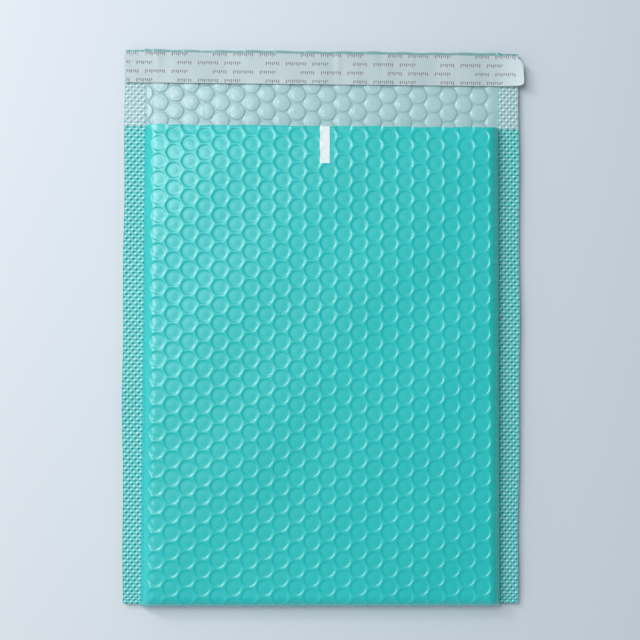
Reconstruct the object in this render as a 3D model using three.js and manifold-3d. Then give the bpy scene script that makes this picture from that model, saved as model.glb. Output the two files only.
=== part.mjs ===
// A padded mailing bag: a teal polyethylene web outside and a clear bubble web inside, folded
// once at the bottom, welded along both sides, with an open flap that carries a peel-off strip.
// It lies empty on its back. Millimetres, +Z up. X runs across the bag, and Y runs along it from
// the bottom fold to the end of the flap. The origin is under the middle of the bag, on the
// surface that the back rests on.
import * as THREE from "three";
import { mergeVertices } from "three/addons/utils/BufferGeometryUtils.js";
import Module from "manifold-3d";

const wasm = await Module();
wasm.setup();

// Driving dimensions: the bag
const bagWidth = 250; // over both side seals
const pocketLength = 300; // from the bottom fold to the mouth
const flapLength = 50; // from the mouth to the end of the flap
const sealWidth = 13; // welded strip along each side
const sealRaise = 2.2; // underside of the welded strips above the table
const pocketGap = 6; // free height inside the empty bag
const mouthDrop = 1.2; // how far the front panel sinks at the mouth
const mouthSlope = 25; // length over which it sinks
const edgeSetback = 0.5; // how far the lining ends short of the film at the mouth and the flap

// Driving dimensions: the two webs
const filmThickness = 0.7; // outer film with its relief
const padThickness = 3.5; // bubble web, from its flat side to the tops of the bubbles
const webThickness = 0.4; // flat side of the bubble web, without the bubbles
const layerGap = 0.3; // air between neighbouring layers

// Driving dimensions: the pattern of the bubbles and of the welded strips
const bubblePitch = 11.3; // between the centres of neighbouring bubbles
const bubbleDiameter = 10.8; // at the foot of a bubble
const bubbleRecess = 0.35; // how far the film sinks over each bubble of the front panel
const frontOffset = 0.6; // from the mouth to the first row of bubbles under the film
const flapOffset = 3.9; // from the mouth to the first row of bubbles on the flap
const knurlPitch = 5.5; // between neighbouring pits pressed into the welded strips
const knurlDepth = 0.2;

// Driving dimensions: the closure on the flap and the printed mark
const linerWidth = 20; // release liner along Y
const linerThickness = 0.3;
const linerSetback = 3.3; // from the end of the flap to the liner
const linerTab = 2.5; // how far the liner stands out past the right edge
const linerCurl = 4; // how far that end curls up
const curlLength = 15; // length of the liner that curls
const linerCorner = 9; // radius of its rounded corner
const adhesiveWidth = 17;
const adhesiveThickness = 0.3;
const adhesiveMargin = 3; // bare lining between the adhesive and each side of the bag
const markWidth = 6; // white printed mark on the front panel, below the mouth
const markLength = 24;
const markShift = 1.1; // centre of the mark, to the right of the middle
const markThickness = 0.25;

const arcSteps = 4; // facets of a rounded shoulder
const slopeSteps = 4; // facets of the slope at the mouth
const liningSteps = 8; // facets of the lining across the bag, between its shoulders
const pocketEdge = 0.3; // height of the pocket at the seals and at the fold
const overrun = 2; // how far a hollow runs past the edge that it opens through

// Places that follow from them
const half = bagWidth / 2;
const panelHalf = half - sealWidth;
const length = pocketLength + flapLength;
const foldEnd = -length / 2;
const mouth = foldEnd + pocketLength;
const flapEnd = length / 2;
const filmInset = filmThickness;
const liningInset = filmInset + layerGap;
const webInset = liningInset + webThickness;
const pocketInset = liningInset + padThickness;
const thickness = pocketGap + 2 * pocketInset;
const shoulder = thickness / 2;
const columnSpacing = (bubblePitch * Math.sqrt(3)) / 2;

// Levels of the welded strips, from the back film up to the front film
const backStrip = sealRaise;
const backStripTop = backStrip + filmThickness;
const liningStrip = backStripTop + layerGap;
const flapStripTop = liningStrip + webThickness;
const liningStripTop = liningStrip + 2 * webThickness;
const frontStrip = liningStripTop + layerGap;
const frontStripTop = frontStrip + filmThickness;
const stripMiddle = (backStrip + frontStripTop) / 2;

// Share of the full height at a distance from an edge, along a quarter of an ellipse.
function rise(distance, reach) {
  const short = THREE.MathUtils.clamp(1 - distance / reach, 0, 1);
  return Math.sqrt(1 - short * short);
}

// A surface of the pocket, lying inset below the outer film: it keeps one level over the seals
// and along the fold, and rounds from there to the level of the panel.
function surface(inset, edgeLevel, panelLevel) {
  const reach = shoulder - inset;
  return (x, y) => {
    const share = rise(panelHalf - inset - Math.abs(x), reach) * rise(y - foldEnd - inset, reach);
    return edgeLevel + (panelLevel(y) - edgeLevel) * share;
  };
}

// Level of a front panel along the bag, which sinks a little at the mouth.
function frontLevel(inset) {
  return (y) => {
    const slope = THREE.MathUtils.clamp(1 - (mouth - y) / mouthSlope, 0, 1);
    return thickness - inset - mouthDrop * slope * slope;
  };
}

function backLevel(inset) {
  return () => inset;
}

// Distances from an edge of the rows that shape a rounded shoulder.
function arcRows(inset) {
  return Array.from({ length: arcSteps + 1 }, (_, step) => {
    const angle = (step / arcSteps) * (Math.PI / 2);
    return (shoulder - inset) * (1 - Math.cos(angle));
  });
}

// Places across the bag: the edges, the rows of both shoulders between them, and equal steps
// between the shoulders.
function acrossRows(inset, edge, steps = 1) {
  const right = arcRows(inset).map((distance) => panelHalf - inset - distance);
  const outer = edge > panelHalf - inset ? [edge] : [];
  const places = [...outer, ...right];
  const between = Array.from(
    { length: steps - 1 },
    (_, step) => (panelHalf - shoulder) * ((2 * (step + 1)) / steps - 1),
  );
  return [...places.map((x) => -x), ...between, ...places.reverse()];
}

// Places along the bag: the rows of the fold, the slope at the mouth and the end.
function alongRows(inset, end) {
  const fold = arcRows(inset).map((distance) => foldEnd + inset + distance);
  const slope = Array.from(
    { length: slopeSteps },
    (_, step) => end - mouthSlope * (1 - step / slopeSteps),
  );
  return [...fold, ...slope, end];
}

// Places along a back that runs under the mouth, which ends at a step above it.
function backRows(inset, step, end) {
  const fold = arcRows(inset).map((distance) => foldEnd + inset + distance);
  return [...fold, 0, step - shoulder / 2, step + shoulder, end];
}

// A line of points along Y at one place across the bag.
function column(x, rows, height) {
  return rows.map((y) => new THREE.Vector3(x, y, height(x, y)));
}

function grid(xs, rows, height) {
  return xs.map((x) => column(x, rows, height));
}

// The band of triangles between two lines of points that run the same way.
function stitch(a, b) {
  const corners = [];
  let i = 0;
  let j = 0;
  while (i < a.length - 1 || j < b.length - 1) {
    const nextA = i < a.length - 1 ? a[i + 1].distanceTo(b[j]) : Infinity;
    const nextB = j < b.length - 1 ? a[i].distanceTo(b[j + 1]) : Infinity;
    if (nextA <= nextB) {
      corners.push(a[i], b[j], a[i + 1]);
      i += 1;
    } else {
      corners.push(a[i], b[j], b[j + 1]);
      j += 1;
    }
  }
  return corners;
}

// A closed body under one or more patches of columns that follow each other along Y, and over
// one patch for the underside. Where two upper patches meet there is a step.
function body(patches, underside) {
  const corners = [];
  for (const patch of patches) {
    for (let k = 1; k < patch.length; k++) corners.push(...stitch(patch[k - 1], patch[k]));
  }
  for (let k = 1; k < underside.length; k++) {
    corners.push(...stitch(underside[k], underside[k - 1]));
  }
  const first = (line) => line[0];
  const last = (line) => line[line.length - 1];
  for (let p = 1; p < patches.length; p++) {
    corners.push(...stitch(patches[p].map(first), patches[p - 1].map(last)));
  }
  corners.push(...stitch(underside.map(last), last(patches).map(last)));
  corners.push(...stitch(first(patches).map(first), underside.map(first)));
  corners.push(...stitch(first(underside), patches.flatMap(first)));
  corners.push(...stitch(patches.flatMap(last), last(underside)));
  return solidOf(new THREE.BufferGeometry().setFromPoints(corners));
}

function solidOf(geometry) {
  geometry.deleteAttribute("normal");
  geometry.deleteAttribute("uv");
  const merged = mergeVertices(geometry, 1e-4);
  return new wasm.Manifold(
    new wasm.Mesh({
      numProp: 3,
      vertProperties: merged.attributes.position.array,
      triVerts: new Uint32Array(merged.index.array),
    }),
  );
}

function part(name, solid, look) {
  const made = solid.getMesh();
  const geometry = new THREE.BufferGeometry();
  geometry.setAttribute("position", new THREE.BufferAttribute(made.vertProperties, made.numProp));
  geometry.setIndex(new THREE.BufferAttribute(made.triVerts, 1));
  geometry.computeVertexNormals();
  const mesh = new THREE.Mesh(geometry, new THREE.MeshStandardMaterial(look));
  mesh.name = name;
  return mesh;
}

// Columns over one welded strip, with ridges and pits by turns, on the side given by its sign.
function stripColumns(side, start, end, level, spacing) {
  const across = Math.max(1, Math.round(sealWidth / spacing));
  const along = Math.max(1, Math.round((end - start) / spacing));
  const columns = [];
  for (let j = 1; j <= across; j++) {
    const x = side * (panelHalf + (j * sealWidth) / across);
    const line = [];
    for (let i = 0; i <= along; i++) {
      const z = level - ((i + j) % 2) * knurlDepth;
      line.push(new THREE.Vector3(x, start + (i * (end - start)) / along, z));
    }
    columns.push(line);
  }
  return columns;
}

// The film over the front panel: a lattice of half the bubbles' pitch, sunk at each bubble.
function frontPatch(height) {
  const foldRows = arcRows(0).map((distance) => foldEnd + distance);
  const columns = [];
  const row = bubblePitch / 2;
  const last = Math.floor((panelHalf - shoulder) / (columnSpacing / 2));
  for (let k = -last; k <= last; k++) {
    const x = (k * columnSpacing) / 2;
    const odd = Math.abs(k) % 2;
    const top = mouth - frontOffset - (1 - odd) * (row / 2);
    const line = [new THREE.Vector3(x, mouth, height(x, mouth))];
    for (let i = 0; top - i * row > foldEnd + shoulder + row / 2; i++) {
      const y = top - i * row;
      const bubble = odd && Math.abs(i + (k - 1) / 2) % 2;
      line.push(new THREE.Vector3(x, y, height(x, y) - (bubble ? bubbleRecess : 0)));
    }
    columns.push([...column(x, foldRows, height), ...line.reverse()]);
  }
  const plainRows = [];
  for (let y = mouth; y > foldEnd + shoulder + row; y -= bubblePitch) plainRows.unshift(y);
  for (const distance of arcRows(0)) {
    const x = panelHalf - distance;
    columns.push(column(x, [...foldRows, ...plainRows], height));
    columns.push(column(-x, [...foldRows, ...plainRows], height));
  }
  for (const side of [-1, 1]) {
    columns.push(...stripColumns(side, foldEnd, mouth, frontStripTop, knurlPitch));
  }
  return columns.sort((a, b) => a[0].x - b[0].x);
}

// Height share of the bubble nearest to a point of the flap.
function bubbleShare(x, y) {
  let share = 0;
  const near = Math.round(x / columnSpacing - 0.5);
  for (let n = near - 1; n <= near + 1; n++) {
    const first = mouth + flapOffset + (Math.abs(n + 1) % 2) * (bubblePitch / 2);
    const centreY = first + Math.round((y - first) / bubblePitch) * bubblePitch;
    const away = Math.hypot(x - (n + 0.5) * columnSpacing, y - centreY) / (bubbleDiameter / 2);
    share = Math.max(share, 1 - away ** 4);
  }
  return share;
}

// The bubble side of the lining on the open flap, on a lattice of a quarter of the pitch.
function flapPatch(start, end) {
  const web = surface(webInset, flapStripTop, backLevel(webInset));
  const row = bubblePitch / 4;
  const step = columnSpacing / 4;
  const height = (x, y) => {
    const side = rise(panelHalf - webInset - Math.abs(x), shoulder - webInset);
    const share = side * Math.min(1, (y - start) / row) * bubbleShare(x, y);
    return web(x, y) + (padThickness - webThickness) * share;
  };
  const foot = panelHalf - webInset;
  const last = Math.ceil(foot / step - 1.25);
  const columns = [column(-foot, [start, end], web), column(foot, [start, end], web)];
  for (let k = -last; k <= last; k++) {
    const rows = [start];
    const first = start + row / 2 + (Math.abs(k) % 2) * (row / 2);
    for (let y = first; y < end - row / 4; y += row) rows.push(y);
    columns.push(column(k * step, [...rows, end], height));
  }
  for (const side of [-1, 1]) {
    columns.push(...stripColumns(side, start, end, flapStripTop, knurlPitch));
  }
  return columns.sort((a, b) => a[0].x - b[0].x);
}

// Outer film: one web that runs from the end of the flap down the back, round the bottom fold
// and up the front to the mouth. Its edges lie in the side seals.
function outerFilm() {
  const front = surface(0, frontStripTop, frontLevel(0));
  const back = surface(0, backStrip, backLevel(0));
  const inner = surface(filmInset, frontStrip, frontLevel(filmInset));
  const innerBack = surface(filmInset, backStripTop, backLevel(filmInset));
  const flap = grid(acrossRows(filmInset, half), [mouth, flapEnd], innerBack);
  const whole = body(
    [frontPatch(front), flap],
    grid(acrossRows(0, half), backRows(0, mouth, flapEnd), back),
  );
  const xs = acrossRows(filmInset, half + overrun);
  const rows = [...alongRows(filmInset, mouth), mouth + overrun];
  const hollow = body([grid(xs, rows, inner)], grid(xs, rows, innerBack));
  return whole.subtract(hollow);
}

// Bubble lining: the padded walls of the pocket and the bubble face of the flap, one web that
// is folded with the film and caught in the same side seals.
function bubbleLining() {
  const end = mouth - edgeSetback;
  const front = surface(liningInset, liningStripTop, frontLevel(liningInset));
  const back = surface(liningInset, liningStrip, backLevel(liningInset));
  const ceiling = surface(pocketInset, stripMiddle + pocketEdge / 2, frontLevel(pocketInset));
  const floor = surface(pocketInset, stripMiddle - pocketEdge / 2, backLevel(pocketInset));
  const xs = acrossRows(liningInset, half, liningSteps);
  const whole = body(
    [grid(xs, alongRows(liningInset, end), front), flapPatch(end, flapEnd - edgeSetback)],
    grid(xs, backRows(liningInset, end, flapEnd - edgeSetback), back),
  );
  const pocketXs = acrossRows(pocketInset, 0, liningSteps);
  const rows = [...alongRows(pocketInset, end), end + overrun];
  const pocket = body([grid(pocketXs, rows, ceiling)], grid(pocketXs, rows, floor));
  return whole.subtract(pocket);
}

// Hot-melt adhesive laid along the flap over the bubbles, under the release liner.
const adhesiveLevel = pocketInset + layerGap;
function adhesiveStrip() {
  const right = half - adhesiveMargin;
  const middle = flapEnd - linerSetback - linerWidth / 2;
  const outline = new THREE.Shape([
    new THREE.Vector2(-right, middle - adhesiveWidth / 2),
    new THREE.Vector2(right, middle - adhesiveWidth / 2),
    new THREE.Vector2(right, middle + adhesiveWidth / 2),
    new THREE.Vector2(-right, middle + adhesiveWidth / 2),
  ]);
  const strip = new THREE.ExtrudeGeometry(outline, {
    depth: adhesiveThickness,
    bevelEnabled: false,
  });
  return solidOf(strip.translate(0, 0, adhesiveLevel));
}

// Release liner: a siliconised strip over the adhesive, flush with the left edge of the bag,
// with a rounded end that stands out past the right edge and curls up.
function releaseLiner() {
  const level = adhesiveLevel + adhesiveThickness + layerGap;
  const end = half + linerTab;
  const top = flapEnd - linerSetback;
  const arc = Array.from({ length: 7 }, (_, step) => (step / 6) * (Math.PI / 2));
  const rounded = arc.map((angle) => end - linerCorner * (1 - Math.sin(angle)));
  const curl = [0, 0.25, 0.5].map((share) => end - curlLength * (1 - share));
  const xs = [-half, ...curl, ...rounded].sort((a, b) => a - b);
  const lift = (x) => linerCurl * THREE.MathUtils.clamp(1 - (end - x) / curlLength, 0, 1) ** 2;
  const lines = (raise) =>
    xs.map((x) => {
      const past = THREE.MathUtils.clamp((x - end) / linerCorner + 1, 0, 1);
      const cut = linerCorner * (1 - Math.sqrt(1 - past * past));
      return column(x, [top - linerWidth, top - cut], () => level + lift(x) + raise);
    });
  return body([lines(linerThickness)], lines(0));
}

// White mark printed on the front film, centred below the mouth.
function eyeMark() {
  const land = surface(0, frontStripTop, frontLevel(0));
  const xs = [markShift - markWidth / 2, markShift + markWidth / 2];
  const rows = Array.from(
    { length: slopeSteps + 1 },
    (_, step) => mouth - markLength * (1 - step / slopeSteps),
  );
  const lower = (x, y) => land(x, y) + layerGap;
  const upper = (x, y) => lower(x, y) + markThickness;
  return body([grid(xs, rows, upper)], grid(xs, rows, lower));
}

const mailer = new THREE.Group();
mailer.add(
  part("outer_film", outerFilm(), { color: 0x4ec4c4, roughness: 0.42, metalness: 0 }),
  part("bubble_lining", bubbleLining(), { color: 0xb4d6d6, roughness: 0.25, metalness: 0 }),
  part("adhesive_strip", adhesiveStrip(), { color: 0xd9ddd0, roughness: 0.5, metalness: 0 }),
  part("release_liner", releaseLiner(), { color: 0xc8dcdc, roughness: 0.35, metalness: 0 }),
  part("eye_mark", eyeMark(), { color: 0xf4f7f7, roughness: 0.5, metalness: 0 }),
);

export default mailer;
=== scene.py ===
import math
import bmesh
import bpy
import numpy as np
from mathutils import Matrix, Vector


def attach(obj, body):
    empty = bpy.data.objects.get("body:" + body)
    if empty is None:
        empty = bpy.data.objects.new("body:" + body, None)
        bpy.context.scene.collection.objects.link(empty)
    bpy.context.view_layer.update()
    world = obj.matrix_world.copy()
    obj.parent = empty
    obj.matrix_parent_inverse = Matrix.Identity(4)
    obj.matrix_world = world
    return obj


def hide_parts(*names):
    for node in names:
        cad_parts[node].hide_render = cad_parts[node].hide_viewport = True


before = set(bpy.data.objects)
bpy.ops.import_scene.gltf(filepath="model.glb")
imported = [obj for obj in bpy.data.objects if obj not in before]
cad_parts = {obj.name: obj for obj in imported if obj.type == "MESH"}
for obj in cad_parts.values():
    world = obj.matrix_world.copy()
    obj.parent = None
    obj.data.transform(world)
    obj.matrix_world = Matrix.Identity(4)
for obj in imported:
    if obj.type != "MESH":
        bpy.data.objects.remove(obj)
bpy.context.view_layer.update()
scene = bpy.context.scene

# Front panel: the teal film over the padding, from the mouth down to the bottom fold. Blown
# polyethylene with a pearl pigment, laminated to the bubble web, so it is drawn down in a round
# dish over every bubble. The columns of bubbles stand one percent closer than in an even
# honeycomb, and a little off the middle, as in the photo. Sizes here are in millimetres.
MM = 0.001
BAG_HALF, SEAL_WIDTH = 125.0, 13.0
PANEL_HALF = BAG_HALF - SEAL_WIDTH
FOLD_END, MOUTH, FLAP_END = -175.0, 125.0, 175.0
THICKNESS, SHOULDER = 15.0, 7.5
MOUTH_DROP, MOUTH_SLOPE = 1.2, 25.0
SEAM_LEVEL = 3.7
BUBBLE_PITCH = 11.23
COLUMN_SPACING = BUBBLE_PITCH * math.sqrt(3) / 2
LATTICE_SQUEEZE, LATTICE_MIDDLE = 0.99, -1.53
FIRST_DISH = 1.07
FILM_DEPTH = 0.55
FOLD_REACH = 6.0
LATTICE_COLUMNS = 26
END_WAVE, END_REACH = 0.75, 8.0


def smooth(share):
    share = np.clip(share, 0.0, 1.0)
    return share * share * (3.0 - 2.0 * share)


def rounded_edge(reach, height, fullness):
    """Tables along a rounded edge from its foot: length run, distance inwards, height share."""
    turn = np.linspace(0.0, math.pi / 2, 240)
    inward = reach * (1.0 - np.abs(np.cos(turn)) ** (2.0 / fullness))
    share = np.abs(np.sin(turn)) ** (2.0 / fullness)
    steps = np.hypot(np.diff(inward), height * np.diff(share))
    return np.concatenate(([0.0], np.cumsum(steps))), inward, share


def end_scallop(x):
    """How far the cut ends draw back between the bubbles, from 0 to 1."""
    return 0.5 + 0.28 * np.sin(x / 3.1 + 0.6) + 0.22 * np.sin(x / 11.0 + 2.0)


def slack(x, y):
    """Slow rise and fall of the padding over the bag, up to 1.7 either way."""
    return (np.sin(x / 23.0 + 1.3) * np.cos(y / 29.0)
            + 0.7 * np.sin(x / 13.0 - y / 17.0 + 0.4))


class Web:
    """One layer of the bag as a flat web: u runs across it and v along it, by arc length.

    Its side edges stand at the foot, at the level of the seam, and it rises from there to its
    level over the reach. Where it has a fold, it rises from that too.
    """

    def __init__(self, foot, seam, level, facing, fold=None, reach=SHOULDER, sway=0.0, end=MOUTH):
        height = abs(float(level(np.array(0.0))) - seam)
        self.foot, self.seam, self.level, self.facing = foot, seam, level, facing
        self.sway, self.fold, self.end = sway, fold, end
        self.side = rounded_edge(reach, height, 2.0)
        self.half = foot - reach + self.side[0][-1]
        self.start = -1000.0
        if fold is not None:
            self.nose = rounded_edge(FOLD_REACH, height, 2.3)
            self.start = fold + FOLD_REACH - self.nose[0][-1]

    def place(self, u, v):
        run, inward, share = self.side
        away = self.half - np.abs(u)
        x = np.sign(u) * (self.foot - np.interp(away, run, inward)
                          - np.maximum(0.0, away - run[-1]))
        height = np.interp(away, run, share)
        y = v
        if self.fold is not None:
            run, inward, share = self.nose
            away = v - self.start
            y = self.fold + np.interp(away, run, inward) + np.maximum(0.0, away - run[-1])
            height = height * np.interp(away, run, share)
        y = y - END_WAVE * end_scallop(x) * smooth((v - self.end) / END_REACH + 1.0)
        level = self.level(y) + self.sway * slack(x, y)
        return np.stack([x, y, self.seam + (level - self.seam) * height], -1)

    def outward(self, u, v):
        step = 0.03
        across = self.place(u + step, v) - self.place(u - step, v)
        along = self.place(u, v + step) - self.place(u, v - step)
        normal = np.cross(across, along)
        length = np.linalg.norm(normal, axis=-1, keepdims=True)
        up = np.array([0.0, 0.0, 1.0])
        normal = np.where(length > 1e-9, normal / np.maximum(length, 1e-9), up)
        return self.facing * normal

    def rows(self, low, high, step):
        bend = self.start if self.fold is None else self.start + self.nose[0][-1]
        if low >= bend:
            return np.linspace(low, high, max(2, round((high - low) / step) + 1))
        flat = np.linspace(bend, high, max(2, round((high - bend) / step) + 1))
        return np.concatenate((np.linspace(low, bend, 9)[:-1], flat))

    def columns(self, low, high, step):
        bend = self.half - self.side[0][-1]
        if high <= bend:
            return np.linspace(low, high, max(2, round((high - low) / step) + 1))
        flat = np.linspace(-bend, bend, round(2 * bend / step) + 1)
        edge = np.linspace(bend, high, 7)[1:]
        return np.concatenate((-edge[::-1], flat, edge))


def hexagon_cell(name, radii, heights, segments):
    """One cell of the lattice: rings round a bubble's centre, closed by its hexagon."""
    turn = 2 * math.pi * np.arange(segments) / segments
    apothem = BUBBLE_PITCH / 2
    border = apothem / np.cos((turn % (math.pi / 3)) - math.pi / 6)
    points = [(0.0, 0.0, heights[0])]
    for radius, height in zip(radii, heights[1:]):
        points += [(radius * math.cos(a), radius * math.sin(a), height) for a in turn]
    points += [(r * math.cos(a), r * math.sin(a), heights[-1]) for r, a in zip(border, turn)]
    faces = [(0, 1 + k, 1 + (k + 1) % segments) for k in range(segments)]
    for ring in range(len(radii)):
        inner, outer = 1 + ring * segments, 1 + (ring + 1) * segments
        for k in range(segments):
            n = (k + 1) % segments
            faces.append((inner + k, outer + k, outer + n, inner + n))
    mesh = bpy.data.meshes.new(name)
    mesh.from_pydata(points, [], faces)
    return mesh


def add_node(tree, kind, inputs=None, **settings):
    """Adds a node; an input may be a value or another node's output."""
    made = tree.nodes.new(kind)
    for key, value in settings.items():
        setattr(made, key, value)
    for key, value in (inputs or {}).items():
        if isinstance(value, bpy.types.NodeSocket):
            tree.links.new(value, made.inputs[key])
        else:
            made.inputs[key].default_value = value
    return made


def math_node(tree, operation, first, second=0.0):
    return add_node(tree, "ShaderNodeMath", {0: first, 1: second}, operation=operation).outputs[0]


# The lattice tree sets one cell on every point of a grid whose odd columns are shifted, turns
# and deepens each one a little by chance, and welds the cells into one flat web.
lattice_tree = bpy.data.node_groups.new("Cell lattice", "GeometryNodeTree")
for socket_name, socket_kind in (
    ("Cell", "NodeSocketObject"), ("Columns", "NodeSocketInt"), ("Rows", "NodeSocketInt"),
    ("Column spacing", "NodeSocketFloat"), ("Row spacing", "NodeSocketFloat"),
    ("Odd shift", "NodeSocketFloat"), ("Least depth", "NodeSocketFloat"),
    ("Most depth", "NodeSocketFloat"), ("Sixth turns", "NodeSocketInt"),
    ("Seed", "NodeSocketInt"), ("Finish", "NodeSocketMaterial"),
):
    lattice_tree.interface.new_socket(name=socket_name, in_out="INPUT", socket_type=socket_kind)
lattice_tree.interface.new_socket(
    name="Web", in_out="OUTPUT", socket_type="NodeSocketGeometry")
given = add_node(lattice_tree, "NodeGroupInput").outputs
width = math_node(lattice_tree, "MULTIPLY", given["Column spacing"],
                  math_node(lattice_tree, "SUBTRACT", given["Columns"], 1.0))
length = math_node(lattice_tree, "MULTIPLY", given["Row spacing"],
                   math_node(lattice_tree, "SUBTRACT", given["Rows"], 1.0))
grid = add_node(lattice_tree, "GeometryNodeMeshGrid", {
    "Size X": width, "Size Y": length,
    "Vertices X": given["Columns"], "Vertices Y": given["Rows"]})
spot = add_node(lattice_tree, "ShaderNodeSeparateXYZ", {
    0: add_node(lattice_tree, "GeometryNodeInputPosition").outputs[0]})
column = math_node(lattice_tree, "ROUND", math_node(
    lattice_tree, "DIVIDE",
    math_node(lattice_tree, "ADD", spot.outputs["X"],
              math_node(lattice_tree, "MULTIPLY", width, 0.5)),
    given["Column spacing"]))
odd = math_node(lattice_tree, "MODULO", column, 2.0)
shift = add_node(lattice_tree, "ShaderNodeCombineXYZ", {
    "Y": math_node(lattice_tree, "MULTIPLY", odd, given["Odd shift"])})
shifted = add_node(lattice_tree, "GeometryNodeSetPosition", {
    "Geometry": grid.outputs["Mesh"], "Offset": shift.outputs[0]})
cell = add_node(lattice_tree, "GeometryNodeObjectInfo", {"Object": given["Cell"]})
depth = add_node(lattice_tree, "FunctionNodeRandomValue", {
    2: given["Least depth"], 3: given["Most depth"], "Seed": given["Seed"]}, data_type="FLOAT")
sixths = add_node(lattice_tree, "FunctionNodeRandomValue", {
    4: 0, 5: given["Sixth turns"], "Seed": given["Seed"]}, data_type="INT")
turned = add_node(lattice_tree, "ShaderNodeCombineXYZ", {
    "Z": math_node(lattice_tree, "MULTIPLY", sixths.outputs[2], math.pi / 3)})
size = add_node(lattice_tree, "ShaderNodeCombineXYZ", {
    "X": 1.0, "Y": 1.0, "Z": depth.outputs[1]})
cells = add_node(lattice_tree, "GeometryNodeInstanceOnPoints", {
    "Points": shifted.outputs[0], "Instance": cell.outputs["Geometry"],
    "Rotation": turned.outputs[0], "Scale": size.outputs[0]})
real = add_node(lattice_tree, "GeometryNodeRealizeInstances", {0: cells.outputs[0]})
welded = add_node(lattice_tree, "GeometryNodeMergeByDistance", {
    "Geometry": real.outputs[0], "Distance": 0.01})
finished = add_node(lattice_tree, "GeometryNodeSetMaterial", {
    "Geometry": welded.outputs[0], "Material": given["Finish"]})
add_node(lattice_tree, "NodeGroupOutput", {"Web": finished.outputs[0]})


def lattice(cell_mesh, finish, columns, rows, column_spacing, row_spacing, odd_shift,
            depths=(1.0, 1.0), sixth_turns=0, seed=1):
    """Runs the lattice tree and gives the flat web as a plain mesh, centred on the origin."""
    cell_piece = bpy.data.objects.new("cell", cell_mesh)
    host = bpy.data.objects.new("web", bpy.data.meshes.new("web"))
    scene.collection.objects.link(cell_piece)
    scene.collection.objects.link(host)
    modifier = host.modifiers.new("Lattice", "NODES")
    modifier.node_group = lattice_tree
    values = {
        "Cell": cell_piece, "Columns": columns, "Rows": rows, "Column spacing": column_spacing,
        "Row spacing": row_spacing, "Odd shift": odd_shift, "Least depth": depths[0],
        "Most depth": depths[1], "Sixth turns": sixth_turns, "Seed": seed, "Finish": finish}
    for item in lattice_tree.interface.items_tree:
        if item.in_out == "INPUT":
            modifier[item.identifier] = values[item.name]
    depsgraph = bpy.context.evaluated_depsgraph_get()
    flat = bpy.data.meshes.new_from_object(host.evaluated_get(depsgraph))
    bpy.data.objects.remove(host)
    bpy.data.objects.remove(cell_piece)
    return flat


def cut(flat, shift, low, high, squeeze=1.0):
    """Narrows a flat web, moves it and cuts it to a rectangle.

    Gives its points as u, v and relief, and its triangles.
    """
    work = bmesh.new()
    work.from_mesh(flat)
    bmesh.ops.scale(work, vec=(squeeze, 1.0, 1.0), verts=work.verts)
    bmesh.ops.translate(work, vec=(shift[0], shift[1], 0.0), verts=work.verts)
    for corner, sign in ((low, -1.0), (high, 1.0)):
        for axis in (0, 1):
            normal = [0.0, 0.0, 0.0]
            normal[axis] = sign
            bmesh.ops.bisect_plane(
                work, geom=work.verts[:] + work.edges[:] + work.faces[:], dist=1e-4,
                plane_co=(corner[0], corner[1], 0.0), plane_no=normal, clear_outer=True)
    bmesh.ops.triangulate(work, faces=work.faces)
    points = np.array([p.co for p in work.verts])
    triangles = np.array([[p.index for p in f.verts] for f in work.faces])
    work.free()
    for axis in (0, 1):
        for edge in (low[axis], high[axis]):
            points[np.abs(points[:, axis] - edge) < 1e-3, axis] = edge
    return points, triangles


def stitch(upper, upper_runs, lower, lower_runs):
    """The band of triangles between two rows of points that run the same way."""
    band = []
    i = j = 0
    while i < len(upper) - 1 or j < len(lower) - 1:
        last_upper = i == len(upper) - 1
        if not last_upper and (j == len(lower) - 1 or upper_runs[i + 1] <= lower_runs[j + 1]):
            band.append((upper[i], lower[j], upper[i + 1]))
            i += 1
        else:
            band.append((upper[i], lower[j], lower[j + 1]))
            j += 1
    return band


def closed_web(points, triangles, web, low, high, depth, step=9.0):
    """Lays a flat web over the bag with its relief outwards, and closes it underneath."""
    u, v, relief = points.T
    outside = web.place(u, v) + relief[:, None] * web.outward(u, v)
    us, vs = web.columns(low[0], high[0], step), web.rows(low[1], high[1], step)
    gu, gv = [g.ravel() for g in np.meshgrid(us, vs, indexing="ij")]
    inside = web.place(gu, gv) - depth * web.outward(gu, gv)
    first, across, along = len(points), len(us), len(vs)
    index = first + np.arange(across * along).reshape(across, along)
    a, b, c, d = index[:-1, :-1], index[1:, :-1], index[1:, 1:], index[:-1, 1:]
    under = np.concatenate([np.stack([a, c, b], -1).reshape(-1, 3),
                            np.stack([a, d, c], -1).reshape(-1, 3)])
    bands = []
    for axis, edge, inner, sign in (
        (0, high[0], index[-1, :], 1), (1, high[1], index[:, -1][::-1], -1),
        (0, low[0], index[0, :][::-1], -1), (1, low[1], index[:, 0], 1),
    ):
        rim = np.flatnonzero(points[:, axis] == edge)
        runs = sign * points[rim, 1 - axis]
        order = np.argsort(runs)
        inner_runs = sign * (vs if axis == 0 else us)
        inner_runs = inner_runs if sign > 0 else inner_runs[::-1]
        bands += stitch(rim[order], runs[order], inner, inner_runs)
    faces = np.concatenate([triangles, under, np.array(bands)])
    if web.facing < 0:
        faces = faces[:, ::-1]
    return np.concatenate([outside, inside]), faces, np.concatenate([relief, gu * 0 - depth])


def film_piece(name, points, faces, finish, nodes, relief=None, crease=1.3):
    """Makes a piece of the bag from points in millimetres, riding on its body."""
    mesh = bpy.data.meshes.new(name)
    mesh.from_pydata((np.asarray(points) * MM).tolist(), [], np.asarray(faces).tolist())
    if relief is not None:
        mesh.attributes.new("relief", "FLOAT", "POINT").data.foreach_set(
            "value", np.asarray(relief, np.float32))
    mesh.materials.append(finish)
    mesh.shade_smooth()
    mesh.set_sharp_from_angle(angle=crease)
    piece = bpy.data.objects.new(name, mesh)
    scene.collection.objects.link(piece)
    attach(piece, "root")
    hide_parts(*nodes)
    return piece


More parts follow.
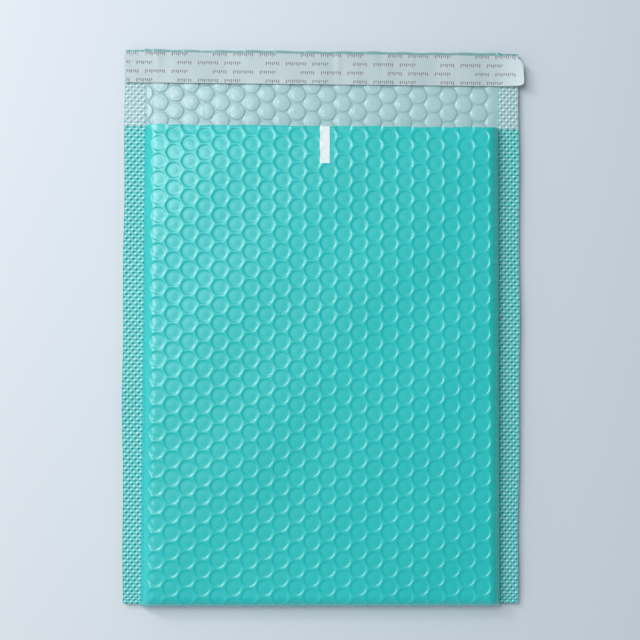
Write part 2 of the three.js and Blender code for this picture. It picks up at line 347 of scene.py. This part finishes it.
def linear(colour):
    """An sRGB hex colour as a linear RGBA value."""
    parts = [((colour >> shift) & 255) / 255 for shift in (16, 8, 0)]
    return tuple(p / 12.92 if p <= 0.04045 else ((p + 0.055) / 1.055) ** 2.4
                 for p in parts) + (1.0,)


def blend_colours(tree, share, first, second):
    """Output of a mix of two colours by a share that varies over the surface."""
    mix = add_node(tree, "ShaderNodeMix", {0: share, 6: first, 7: second}, data_type="RGBA")
    return mix.outputs[2]


def new_finish(name, roughness):
    """A plain finish: the material, its tree, its shader and the place on the piece."""
    made = bpy.data.materials.new(name)
    made.use_nodes = True
    shader = made.node_tree.nodes["Principled BSDF"]
    shader.inputs["Roughness"].default_value = roughness
    where = add_node(made.node_tree, "ShaderNodeTexCoord").outputs["Object"]
    return made, made.node_tree, shader, where


def emboss(tree, shader, height, strength, distance):
    """Lets a varying height tilt the surface of a finish."""
    bump = add_node(tree, "ShaderNodeBump", {
        "Height": height, "Strength": strength, "Distance": distance})
    tree.links.new(bump.outputs[0], shader.inputs["Normal"])


def relief_share(tree, low, high):
    """How far the stored relief stands between two levels, from 0 to 1."""
    stored = add_node(tree, "ShaderNodeAttribute", attribute_name="relief")
    return add_node(tree, "ShaderNodeMapRange", {
        "Value": stored.outputs["Fac"], "From Min": low, "From Max": high}).outputs[0]


# Pearl-pigmented blown film: a satin skin under a smoother one, so the rims of the dishes catch
# thin bright arcs, and a faint draw grain along the web.
teal_film, tree, shader, where = new_finish("pearl polyethylene film, satin", 0.4)
clouds = add_node(tree, "ShaderNodeTexNoise", {"Vector": where, "Scale": 22.0, "Detail": 2.0})
cloudy = blend_colours(tree, clouds.outputs[0], linear(0x04BDBB), linear(0x0EC6C4))
tree.links.new(cloudy, shader.inputs["Base Color"])
grain_scale = add_node(tree, "ShaderNodeMapping", {"Vector": where, "Scale": (3.0, 1.0, 1.0)})
grain = add_node(tree, "ShaderNodeTexNoise", {
    "Vector": grain_scale.outputs[0], "Scale": 420.0, "Detail": 3.0})
emboss(tree, shader, grain.outputs[0], 0.12, 0.0004)
shader.inputs["IOR"].default_value = 1.51
shader.inputs["Coat Weight"].default_value = 0.65
shader.inputs["Coat Roughness"].default_value = 0.2


def front_level(y):
    slope = np.clip(1.0 - (MOUTH - y) / MOUTH_SLOPE, 0.0, 1.0)
    return THICKNESS - MOUTH_DROP * slope * slope


dish_cell = hexagon_cell(
    "dish_cell", (2.6, 4.25, 4.55, 4.82, 5.1), (-0.17, -0.23, -0.28, -0.25, -0.11, -0.02, 0.0), 24)
front_web = Web(PANEL_HALF, SEAM_LEVEL, front_level, 1.0, fold=FOLD_END, sway=0.12)
FRONT_ROWS = 30
front_flat = lattice(dish_cell, teal_film, LATTICE_COLUMNS, FRONT_ROWS, COLUMN_SPACING,
                     BUBBLE_PITCH, -BUBBLE_PITCH / 2, depths=(0.9, 1.15), sixth_turns=5, seed=4)
front_shift = (LATTICE_MIDDLE, MOUTH - FIRST_DISH + BUBBLE_PITCH * (1 - (FRONT_ROWS - 1) / 2))


def fade_relief(points, web, side=1.5, start=2.0):
    """Lets the relief run out at the side seals and at the fold."""
    points = points.copy()
    share = smooth((web.half - np.abs(points[:, 0])) / side)
    if web.fold is not None:
        share = share * smooth((points[:, 1] - web.start) / start)
    points[:, 2] *= share
    return points


low, high = (-front_web.half, front_web.start), (front_web.half, MOUTH)
points, triangles = cut(front_flat, front_shift, low, high, LATTICE_SQUEEZE)
points = fade_relief(points, front_web)
points, faces, relief = closed_web(points, triangles, front_web, low, high, FILM_DEPTH)
front_film = film_piece("front_film", points, faces, teal_film, ["outer_film"],
                        relief=relief)

# Back of the bag: the same film, folded round the bottom, lying on the table and running on
# past the mouth as the outside of the flap. Its dishes face the table.
BACK_DEPTH = 0.5
back_cell = hexagon_cell("back_cell", (3.6, 4.5, 5.05), (-0.2, -0.34, -0.28, 0.0, 0.0), 18)
back_web = Web(PANEL_HALF, SEAM_LEVEL, lambda y: 0.0 * y, -1.0, fold=FOLD_END, end=FLAP_END)
BACK_ROWS = 34
back_flat = lattice(back_cell, teal_film, LATTICE_COLUMNS, BACK_ROWS, COLUMN_SPACING,
                    BUBBLE_PITCH, -BUBBLE_PITCH / 2, depths=(0.8, 1.2), seed=7)
low, high = (-back_web.half, back_web.start), (back_web.half, FLAP_END)
points, triangles = cut(back_flat, (LATTICE_MIDDLE, 0.0), low, high, LATTICE_SQUEEZE)
points = fade_relief(points, back_web)
points, faces, relief = closed_web(points, triangles, back_web, low, high, BACK_DEPTH)
back_film = film_piece("back_film", points, faces, teal_film, ["outer_film"],
                       relief=relief)

# Side seals: front film, lining and back film, hot-pressed together between knurled jaws, which
# leave rows of slanted pits with round nubs between them. The nubs are whitened by the heat and
# also carry a painted highlight, and the pits are painted darker as shade.
PIT_SPACING, PIT_ROWS = 2.12, 4.4
STRIP_INNER = PANEL_HALF - 0.4
PIT_DEPTH, NUB_HEIGHT = 0.52, 0.18
PIT_LENGTH, PIT_WIDTH = 1.15, 0.60
LEAN_ALONG, LEAN_OFF = 0.86, 0.51
LINK_SHARE, LINK_LENGTH, LINK_WIDTH = 0.3, 0.95, 0.5
FRONT_STRIP, MIDDLE_STRIP, BACK_STRIP = 4.05, 3.6, 3.15
STRIP_DEPTH, FLAP_STRIP_DEPTH = 0.42, 0.35
WAIST_DRAW, WAIST_START, WAIST_LENGTH = 1.5, -20.0, 150.0
END_DRAW, END_LENGTH = 1.4, 9.0
KNOT_SHARE = 0.25


def knurl_height(x, y):
    """Height of the pressed pattern: pits on a chequer, leaning right, linked by low grooves."""
    a, b = x / PIT_SPACING, y / (PIT_ROWS / 2)
    nub = np.abs(np.sin(math.pi * a) * np.sin(math.pi * b)) ** 1.5
    pit = 0.0
    for i in range(-2, 3):
        for j in range(-2, 3):
            dx, dy = x - i * PIT_SPACING, y - j * PIT_ROWS / 2
            if (i + j) % 2 == 1:
                pit = pit + LINK_SHARE * np.exp(
                    -((dx / LINK_LENGTH) ** 2) - (dy / LINK_WIDTH) ** 2)
            else:
                along = LEAN_ALONG * dx + LEAN_OFF * dy
                off = -LEAN_OFF * dx + LEAN_ALONG * dy
                pit = pit + np.exp(-((along / PIT_LENGTH) ** 2) - (off / PIT_WIDTH) ** 2)
    return NUB_HEIGHT * nub - PIT_DEPTH * pit


def knurl_cell(name, across, along):
    xs = np.linspace(-PIT_SPACING / 2, PIT_SPACING / 2, across + 1)
    ys = np.linspace(-PIT_ROWS / 2, PIT_ROWS / 2, along + 1)
    gx, gy = [g.ravel() for g in np.meshgrid(xs, ys, indexing="ij")]
    cell_points = np.stack([gx, gy, knurl_height(gx, gy)], -1)
    faces = [(i * (along + 1) + j, (i + 1) * (along + 1) + j, (i + 1) * (along + 1) + j + 1,
              i * (along + 1) + j + 1) for i in range(across) for j in range(along)]
    mesh = bpy.data.meshes.new(name)
    mesh.from_pydata(cell_points.tolist(), [], faces)
    return mesh


class Strip:
    """A welded strip as a flat web, clear of the table; it waves and is drawn in at its ends."""

    def __init__(self, level, facing):
        self.level, self.facing = level, facing

    def place(self, u, v):
        wave = 0.22 * np.sin(v / 21.0 + u / 60.0) + 0.12 * np.sin(v / 8.3 + 1.0)
        edge = smooth((np.abs(u) - PANEL_HALF) / SEAL_WIDTH)
        drawn = (0.25 * (1.0 - np.sin(v / 14.0 + np.sign(u)))
                 + WAIST_DRAW * smooth((WAIST_START - v) / WAIST_LENGTH))
        x = u - np.sign(u) * edge * drawn
        y = v - END_DRAW * np.sign(v) * smooth((np.abs(v) - FLAP_END) / END_LENGTH + 1.0)
        return np.stack([x, y, self.level + wave * edge], -1)

    def outward(self, u, v):
        return np.broadcast_to(np.array([0.0, 0.0, self.facing]), u.shape + (3,))

    def columns(self, low, high, step):
        return np.linspace(low, high, 4)

    def rows(self, low, high, step):
        return np.linspace(low, high, max(2, round((high - low) / 4.0) + 1))


def strip_pair(name, cell_mesh, level, facing, depth, start, end, finish, nodes, seed):
    """Both welded strips of one layer, from one place along the bag to another.

    By chance the pattern is a little deeper in one place than in the next.
    """
    rows = math.ceil((end - start) / PIT_ROWS) + 2
    flat = lattice(cell_mesh, finish, 9, rows, PIT_SPACING, PIT_ROWS, PIT_ROWS / 2)
    strip = Strip(level, facing)
    parts, faces, reliefs, count = [], [], [], 0
    for side in (-1, 1):
        low = (side * BAG_HALF if side < 0 else STRIP_INNER, start)
        high = (-STRIP_INNER if side < 0 else BAG_HALF, end)
        middle = (low[0] + high[0]) / 2
        places, triangles = cut(flat, (middle, (start + end) / 2), low, high)
        chance = np.random.default_rng(seed + side)
        knots = chance.uniform(0.45, 1.15, (10, rows * 3))
        column = ((places[:, 0] - low[0]) / SEAL_WIDTH * 8).astype(int).clip(0, 9)
        row = ((places[:, 1] - low[1]) / (PIT_ROWS / 2)).astype(int).clip(0, rows * 3 - 1)
        near_edge = np.minimum(places[:, 0] - low[0], high[0] - places[:, 0])
        deeper = 1.0 - KNOT_SHARE + KNOT_SHARE * knots[column, row]
        places[:, 2] *= smooth(near_edge / 0.5 + 0.3) * deeper
        made, closed, relief = closed_web(places, triangles, strip, low, high, depth)
        parts.append(made)
        faces.append(closed + count)
        reliefs.append(relief)
        count += len(made)
    return film_piece(name, np.concatenate(parts), np.concatenate(faces), finish, nodes,
                      relief=np.concatenate(reliefs), crease=1.45)


def welded_finish(name, shaded_pit_colour, land_colour, whitened_and_lit_nub_colour):
    """Film pressed between hot jaws: pits painted darker as shade, nubs milky from stretching with
    a painted highlight on them.
    """
    finish, tree, shader, where = new_finish(name, 0.3)
    patches = add_node(tree, "ShaderNodeTexNoise", {
        "Vector": where, "Scale": 260.0, "Detail": 2.0})
    # Painted shade darkens the pits; the nubs turn paler, partly heat whitening and partly painted
    # highlight.
    pits_in_painted_shade = blend_colours(tree, relief_share(tree, -0.30, -0.10),
                             linear(shaded_pit_colour), linear(land_colour))
    whitening_and_painted_highlight = math_node(tree, "MULTIPLY", relief_share(tree, -0.04, 0.09),
                         math_node(tree, "ADD", patches.outputs[0], 0.35))
    coloured = blend_colours(tree, whitening_and_painted_highlight, pits_in_painted_shade, linear(whitened_and_lit_nub_colour))
    tree.links.new(coloured, shader.inputs["Base Color"])
    shader.inputs["IOR"].default_value = 1.51
    return finish


knurl_fine = knurl_cell("knurl_fine", 6, 12)
knurl_coarse = knurl_cell("knurl_coarse", 3, 6)
welded_teal = welded_finish("hot-pressed teal film", 0x00918D, 0x4CC3C1, 0xC6ECEC)
front_seals = strip_pair("front_seals", knurl_fine, FRONT_STRIP, 1.0, STRIP_DEPTH, FOLD_END,
                         MOUTH, welded_teal, ["outer_film"], 11)
back_seals = strip_pair("back_seals", knurl_coarse, BACK_STRIP, -1.0, STRIP_DEPTH, FOLD_END,
                        FLAP_END, welded_teal, ["outer_film"], 17)

# Bubble lining: clear polyethylene web with round blown bubbles, bonded flat side out to the
# film. It shows on the open flap, where its bubbles stand up, crowded against each other.
WEB_LEVEL, WEB_DEPTH = 1.4, 0.4
FLAP_LEVEL, FLAP_DEPTH = 3.4, 2.3
LINING_FOOT = PANEL_HALF - 0.2
FLAP_START, LINING_END = 86.0, FLAP_END - 0.5
FIRST_BUBBLE = 4.4
SIDE_FADE = 5.0
END_FADE, END_SHARE = 6.0, 0.1
TOP_FOLDS, FULL_FOLDS = 0.06, 0.8
clear_web, tree, shader, where = new_finish("clear bubble film, satin under a glossy skin", 0.42)
haze = add_node(tree, "ShaderNodeTexNoise", {"Vector": where, "Scale": 190.0, "Detail": 3.0})
tops = blend_colours(tree, haze.outputs[0], linear(0xA2C9CD), linear(0xB0D2D6))
# The low relief in the creases between the bubbles is painted darker as shade, and the colour
# lightens up the walls to the tops.
walls_with_painted_crease_shade = blend_colours(tree, relief_share(tree, 0.0, 0.3), linear(0x9DC5C8), linear(0xA8CDD0))
bubbles_with_painted_crease_shade = blend_colours(tree, relief_share(tree, 0.35, 0.6), walls_with_painted_crease_shade, tops)
along = add_node(tree, "ShaderNodeSeparateXYZ", {0: where}).outputs["Y"]
at_end = add_node(tree, "ShaderNodeMapRange", {
    "Value": along, "From Min": 0.1708, "From Max": 0.1722}).outputs[0]
coloured = blend_colours(tree, at_end, bubbles_with_painted_crease_shade, linear(0x7CABAB))
tree.links.new(coloured, shader.inputs["Base Color"])
wrinkles = add_node(tree, "ShaderNodeTexNoise", {
    "Vector": where, "Scale": 330.0, "Detail": 4.0, "Distortion": 1.2})
emboss(tree, shader, wrinkles.outputs[0], 0.25, 0.0005)
shader.inputs["IOR"].default_value = 1.5
shader.inputs["Coat Weight"].default_value = 0.4
shader.inputs["Coat Roughness"].default_value = 0.1

bubble_cell = hexagon_cell(
    "bubble_cell", (2.4, 3.5, 3.85, 4.2, 4.65, 5.0, 5.35),
    (0.66, 0.65, 0.62, 0.53, 0.60, 0.52, 0.30, 0.06, 0.0), 24)
plain_cell = hexagon_cell("plain_cell", (3.9, 4.9), (2.9, 2.9, 1.6, 0.0), 18)


def crumple(points, height):
    """Small folds in the bubbles' tops, in full where the relief is high and none at their feet."""
    u, v, relief = points.T
    folds = (np.sin(u * 1.15 + 0.8 * np.sin(v * 0.9)) * np.sin(v * 0.95 + 0.7 * np.sin(u * 0.7))
             + 0.6 * np.sin(u * 0.47 - v * 0.61))
    points[:, 2] = relief + height * folds * np.clip(relief / FULL_FOLDS, 0.0, 1.0) ** 2
    return points


flap_web = Web(LINING_FOOT, SEAM_LEVEL, lambda y: FLAP_LEVEL + 0.0 * y, 1.0, reach=6.0,
               sway=0.1, end=LINING_END)
FLAP_ROWS = 12
flap_flat = lattice(bubble_cell, clear_web, LATTICE_COLUMNS, FLAP_ROWS, COLUMN_SPACING,
                    BUBBLE_PITCH, BUBBLE_PITCH / 2, depths=(0.86, 1.0), sixth_turns=5, seed=3)
flap_shift = (LATTICE_MIDDLE, MOUTH + FIRST_BUBBLE + BUBBLE_PITCH / 2)
low, high = (-flap_web.half, FLAP_START), (flap_web.half, LINING_END)
points, triangles = cut(flap_flat, flap_shift, low, high, LATTICE_SQUEEZE)
points = crumple(points, TOP_FOLDS)
points[:, 2] *= smooth((flap_web.half - np.abs(points[:, 0])) / SIDE_FADE)
points[:, 2] *= END_SHARE + (1.0 - END_SHARE) * smooth((LINING_END - points[:, 1]) / END_FADE)
points, faces, relief = closed_web(points, triangles, flap_web, low, high, FLAP_DEPTH)
lining_flap = film_piece("lining_flap", points, faces, clear_web,
                         ["bubble_lining"], relief=relief)

# Rest of the lining, inside the pocket: the same bubble web under the front panel and over the
# back, folded round the bottom with the film, its bubbles facing the goods.
LINING_FOLD = FOLD_END + 1.0
LINING_MOUTH = MOUTH - 0.5
CEILING_DROP = 1.45
floor_web = Web(LINING_FOOT - 1.0, 3.5, lambda y: WEB_LEVEL + 0.0 * y, 1.0, fold=LINING_FOLD,
                reach=6.0)
ceiling_web = Web(LINING_FOOT - 1.0, 3.8, lambda y: front_level(y) - CEILING_DROP, -1.0,
                  fold=LINING_FOLD, reach=6.0)
for web, name, end, rows in ((floor_web, "lining_floor", FLAP_START, 27),
                             (ceiling_web, "lining_ceiling", LINING_MOUTH, 30)):
    flat = lattice(plain_cell, clear_web, LATTICE_COLUMNS, rows + 1, COLUMN_SPACING,
                   BUBBLE_PITCH, BUBBLE_PITCH / 2, depths=(0.9, 1.0), seed=9)
    low, high = (-web.half, web.start), (web.half, end)
    shift_rows = MOUTH + FIRST_BUBBLE - BUBBLE_PITCH * (0.5 + rows / 2)
    points, triangles = cut(flat, (LATTICE_MIDDLE, shift_rows), low, high, LATTICE_SQUEEZE)
    points = fade_relief(points, web, side=12.0, start=12.0)
    points, faces, relief = closed_web(points, triangles, web, low, high, WEB_DEPTH)
    padding = film_piece(name, points, faces, clear_web,
                         ["bubble_lining"], relief=relief)

welded_clear = welded_finish("hot-pressed clear film", 0x82AEB0, 0xA0C7CB, 0xEAF4F5)
flap_seals = strip_pair("flap_seals", knurl_fine, MIDDLE_STRIP + FLAP_STRIP_DEPTH, 1.0,
                        FLAP_STRIP_DEPTH, MOUTH, LINING_END, welded_clear,
                        ["bubble_lining"], 23)

# Adhesive: a band of hot melt laid over the bubbles of the flap, milky and slightly tacky. The
# liner covers it, so the band keeps its plain form.
hot_melt, tree, shader, where = new_finish("hot-melt adhesive, milky", 0.3)
flow = add_node(tree, "ShaderNodeTexNoise", {"Vector": where, "Scale": 90.0, "Detail": 3.0})
tree.links.new(blend_colours(tree, flow.outputs[0], linear(0xD3D8CB), linear(0xE2E5DA)),
               shader.inputs["Base Color"])
emboss(tree, shader, flow.outputs[0], 0.3, 0.0005)
shader.inputs["IOR"].default_value = 1.49
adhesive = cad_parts["adhesive_strip"]
adhesive.data.materials.clear()
adhesive.data.materials.append(hot_melt)

# Release liner: a thin siliconised polyethylene tape over the adhesive, flush on the left. Its
# rounded right end is left free as a tab, and stands up a little.
LINER_LEVEL, LINER_DEPTH = 5.7, 0.25
LINER_TOP, LINER_WIDTH = FLAP_END - 3.0, 19.4
LINER_END = BAG_HALF + 2.5
CURL_LENGTH, CURL_HEIGHT = 20.0, 3.5
TOP_CORNER, LOW_CORNER = 9.0, 2.6
LINER_CREASES = ((9.5, 0.30, 1.6), (41.0, 0.26, 1.8), (-104.0, 0.22, 2.4), (88.0, 0.12, 3.0))
CRUMPLE_START, CRUMPLE_REACH, CRUMPLE_HEIGHT = -80.0, 40.0, 0.22


class Tape:
    """The liner as a flat web: u along the bag's width, v from its lower to its upper edge."""

    def place(self, u, v):
        past = np.clip((u - (LINER_END - TOP_CORNER)) / TOP_CORNER, 0.0, 1.0)
        upper = LINER_TOP - TOP_CORNER * (1.0 - np.sqrt(1.0 - past * past))
        past = np.clip((u - (LINER_END - LOW_CORNER)) / LOW_CORNER, 0.0, 1.0)
        lower = LINER_TOP - LINER_WIDTH + LOW_CORNER * (1.0 - np.sqrt(1.0 - past * past))
        share = (v - (LINER_TOP - LINER_WIDTH)) / LINER_WIDTH
        y = lower + share * (upper - lower)
        curl = np.clip((u - (LINER_END - CURL_LENGTH)) / CURL_LENGTH, 0.0, 1.0)
        z = LINER_LEVEL - LINER_DEPTH + CURL_HEIGHT * curl ** 2.2 * (1.15 - 0.3 * share)
        for place, height, reach in LINER_CREASES:
            z = z + height * np.exp(-(((u - place) / reach) ** 2)) * (0.4 + 0.6 * share)
        crumpled = CRUMPLE_HEIGHT * smooth((CRUMPLE_START - u) / CRUMPLE_REACH)
        z = z + crumpled * np.sin(y * 0.9 + u * 0.12) + 0.1 * np.sin(u / 9.0 + y / 7.0)
        z = z + 0.12 * np.cos(2 * math.pi * u / COLUMN_SPACING / 2) * (1.0 - share) ** 2
        return np.stack([u, y, z], -1)

    def outward(self, u, v):
        return np.broadcast_to(np.array([0.0, 0.0, 1.0]), u.shape + (3,))


def sheet_grid(us, vs, web, depth):
    """A closed sheet over a rectangular grid of a flat web."""
    gu, gv = [g.ravel() for g in np.meshgrid(us, vs, indexing="ij")]
    upper = web.place(gu, gv)
    count, along = len(gu), len(vs)
    index = np.arange(count).reshape(len(us), along)
    a, b, c, d = index[:-1, :-1], index[1:, :-1], index[1:, 1:], index[:-1, 1:]
    tops = np.stack([a, b, c, d], -1).reshape(-1, 4)
    rim = np.concatenate([index[:, 0], index[-1, 1:], index[-2::-1, -1], index[0, -2::-1]])
    follow = rim[1:]
    rim = rim[:-1]
    sides = np.stack([rim, rim + count, follow + count, follow], -1)
    return (np.concatenate([upper, upper - depth * web.outward(gu, gv)]),
            np.concatenate([tops, tops[:, ::-1] + count, sides]))


liner_film_with_painted_shade, tree, shader, where = new_finish("siliconised release film, matt", 0.38)
# The light and dark bands across the liner are painted shade standing for its slight creases and
# undulations.
bands = add_node(tree, "ShaderNodeMapping", {"Vector": where, "Scale": (1.0, 0.16, 1.0)})
haze = add_node(tree, "ShaderNodeTexNoise", {
    "Vector": bands.outputs[0], "Scale": 75.0, "Detail": 2.0})
tree.links.new(blend_colours(tree, haze.outputs[0], linear(0xA8BEC1), linear(0xCCDADC)),
               shader.inputs["Base Color"])
fine = add_node(tree, "ShaderNodeTexNoise", {"Vector": where, "Scale": 600.0, "Detail": 2.0})
emboss(tree, shader, fine.outputs[0], 0.08, 0.0003)
shader.inputs["IOR"].default_value = 1.45

tape = Tape()
corner_us = LINER_END - TOP_CORNER * (1.0 - np.sin(np.linspace(0.0, math.pi / 2, 14)))
liner_us = np.concatenate((np.linspace(-BAG_HALF, LINER_END - TOP_CORNER, 190)[:-1], corner_us))
liner_vs = np.linspace(LINER_TOP - LINER_WIDTH, LINER_TOP, 17)
liner_points, liner_faces = sheet_grid(liner_us, liner_vs, tape, LINER_DEPTH)
release_liner = film_piece("release_liner_tape", liner_points, liner_faces, liner_film_with_painted_shade,
                           ["release_liner"])

# Print on the liner: four rows of small grey marks, every other row set over along the liner.
# Flexographic ink, laid on the release film; the marks are plain strokes in groups.
REPEAT, PRINT_ROWS, ROW_PITCH, ROW_SHIFT = 55.5, 4, 5.6, -0.4
MARK_HEIGHT, STROKE = 2.2, 0.62
FIRST_PRINT_ROW = LINER_TOP - 1.0
PRINT_START, PRINT_END, PRINT_MIDDLE = -BAG_HALF + 1.0, LINER_END - 3.0, 8.0
STROKE_GROUPS, FIRST_STROKE = (7, 10, 8), -22.0
STROKE_HEIGHTS, STROKE_SPACING, GROUP_GAP = (1.0, 0.62, 0.8), 1.32, 3.6
INK_ABOVE, INK_DEPTH = 0.05, 0.15
print_ink, tree, shader, where = new_finish("grey flexographic ink, matt", 0.6)
worn = add_node(tree, "ShaderNodeTexNoise", {"Vector": where, "Scale": 700.0, "Detail": 2.0})
tree.links.new(blend_colours(tree, worn.outputs[0], linear(0x766E78), linear(0x918C95)),
               shader.inputs["Base Color"])


def mark_cell():
    """One repeat of the print, laid along Y: three groups of strokes with gaps between."""
    points, faces = [], []
    place = FIRST_STROKE
    for strokes in STROKE_GROUPS:
        for k in range(strokes):
            height = MARK_HEIGHT * STROKE_HEIGHTS[k % len(STROKE_HEIGHTS)]
            corner = len(points)
            for x, y in ((0.0, place), (height, place), (height, place + STROKE),
                         (0.0, place + STROKE)):
                points.append((x - MARK_HEIGHT / 2, y, 0.0))
            faces.append((corner, corner + 1, corner + 2, corner + 3))
            place += STROKE_SPACING
        place += GROUP_GAP
    mesh = bpy.data.meshes.new("mark_cell")
    mesh.from_pydata(points, [], faces)
    return mesh


marks = lattice(mark_cell(), print_ink, PRINT_ROWS, 7, ROW_PITCH, REPEAT, REPEAT * ROW_SHIFT)
work = bmesh.new()
work.from_mesh(marks)
bmesh.ops.translate(work, vec=(0.0, PRINT_MIDDLE, 0.0), verts=work.verts)
outside = [f for f in work.faces if not
           (PRINT_START < f.calc_center_median().y < PRINT_END)]
bmesh.ops.delete(work, geom=outside, context="FACES")
flat_marks = np.array([p.co for p in work.verts])
mark_faces = np.array([[p.index for p in f.verts] for f in work.faces])
work.free()
mark_u = flat_marks[:, 1]
mark_v = FIRST_PRINT_ROW - (PRINT_ROWS - 1) / 2 * ROW_PITCH - flat_marks[:, 0]
ink_top = tape.place(mark_u, mark_v) + np.array([0.0, 0.0, INK_ABOVE])
ink_low = ink_top - np.array([0.0, 0.0, INK_DEPTH])
count = len(ink_top)
rims = []
for face in mark_faces:
    for first, second in zip(face, np.roll(face, -1)):
        rims.append((first, first + count, second + count, second))
ink_faces = np.concatenate([mark_faces, mark_faces[:, ::-1] + count, np.array(rims)])
liner_print = film_piece("liner_print", np.concatenate([ink_top, ink_low]), ink_faces,
                         print_ink, [])

# White mark: a bar printed on the front film below the middle of the mouth, thin enough for the
# dishes to show through it.
MARK_SIDES = (-1.9, 4.1)
MARK_START = MOUTH - 24.0
MARK_RELIEF, MARK_ABOVE, MARK_DEPTH = 0.6, 0.07, 0.45
white_ink, tree, shader, where = new_finish("white flexographic ink, satin", 0.45)
thin = add_node(tree, "ShaderNodeTexNoise", {"Vector": where, "Scale": 160.0, "Detail": 3.0})
tree.links.new(blend_colours(tree, thin.outputs[0], linear(0xE2EBED), linear(0xEDF2F3)),
               shader.inputs["Base Color"])
low, high = (MARK_SIDES[0], MARK_START), (MARK_SIDES[1], MOUTH)
points, triangles = cut(front_flat, front_shift, low, high, LATTICE_SQUEEZE)
points[:, 2] = MARK_RELIEF * points[:, 2] + MARK_ABOVE
points, faces, relief = closed_web(points, triangles, front_web, low, high, MARK_DEPTH, step=4.0)
eye_mark = film_piece("printed_mark", points, faces, white_ink, ["eye_mark"])

# Studio: a pale blue-grey table, painted lighter on the left and darker to the right as light
# falling off across it, a wide soft lamp like a window high on the upper left, a small key lamp
# lower on the same side, and a dim sky that fades overhead and to the right. Its places are in
# metres.
TABLE_HALF, TABLE_LEVEL = 3.0, -0.0004
corners = [(x * TABLE_HALF, y * TABLE_HALF, TABLE_LEVEL)
           for x, y in ((-1, -1), (1, -1), (1, 1), (-1, 1))]
floor_mesh = bpy.data.meshes.new("table")
floor_mesh.from_pydata(corners, [], [(0, 1, 2, 3)])
table = bpy.data.objects.new("table", floor_mesh)
scene.collection.objects.link(table)
table_with_painted_falloff, tree, shader, where = new_finish("pale table, matt, painted lighter to the left", 0.7)
# The table's colour runs from lighter on the left to darker on the right: painted light falling off
# across it.
across = add_node(tree, "ShaderNodeSeparateXYZ", {0: where}).outputs["X"]
share = add_node(tree, "ShaderNodeMapRange", {
    "Value": across, "From Min": -0.22, "From Max": 0.22}).outputs[0]
tree.links.new(blend_colours(tree, share, linear(0xDDE4EA), linear(0xC9D5DE)),
               shader.inputs["Base Color"])
floor_mesh.materials.append(table_with_painted_falloff)

scene.world = bpy.data.worlds.new("studio")
scene.world.use_nodes = True
tree = scene.world.node_tree
sky = tree.nodes["Background"]
sky.inputs["Color"].default_value = linear(0xEEF3F8)
direction = add_node(tree, "ShaderNodeSeparateXYZ", {
    0: add_node(tree, "ShaderNodeTexCoord").outputs["Generated"]}).outputs
by_height = add_node(tree, "ShaderNodeMapRange", {
    "Value": direction["Z"], "From Min": 0.5, "From Max": 0.95, "To Min": 0.6, "To Max": 0.3})
by_side = add_node(tree, "ShaderNodeMapRange", {
    "Value": direction["X"], "From Min": -0.6, "From Max": 0.7, "To Min": 1.35, "To Max": 0.5})
tree.links.new(math_node(tree, "MULTIPLY", by_height.outputs[0], by_side.outputs[0]),
               sky.inputs["Strength"])


def soft_lamp(name, place, side, power):
    """A square lamp that faces the middle of the bag."""
    lamp = bpy.data.lights.new(name, "AREA")
    lamp.shape, lamp.size, lamp.size_y, lamp.energy = "RECTANGLE", side, side, power
    lit = bpy.data.objects.new(name, lamp)
    scene.collection.objects.link(lit)
    lit.location = place
    lit.rotation_euler = (-Vector(place)).to_track_quat("-Z", "Y").to_euler()


soft_lamp("key", (-0.80, 0.62, 0.95), 0.3, 4.0)
soft_lamp("window", (-0.80, 0.50, 2.2), 1.1, 28.0)

# The camera stands over the bag as it stood before it in the photo, fitted to the outline.
CAMERA_PLACE = Vector((-0.0367, -0.0451, 0.9671))
CAMERA_AIM = Vector((-0.0011, 0.0035, 0.0))
CAMERA_ROLL = math.radians(0.18)
lens = bpy.data.cameras.new("camera")
lens.lens, lens.sensor_width = 86.3, 36.0
camera = bpy.data.objects.new("camera", lens)
scene.collection.objects.link(camera)
ahead = (CAMERA_AIM - CAMERA_PLACE).normalized()
right = ahead.cross(Vector((0.0, 1.0, 0.0))).normalized()
turn = Matrix((right, right.cross(ahead), -ahead)).transposed()
camera.matrix_world = (Matrix.Translation(CAMERA_PLACE) @ turn.to_4x4()
                       @ Matrix.Rotation(CAMERA_ROLL, 4, "Z"))
scene.camera = camera
scene.view_settings.view_transform = "Standard"
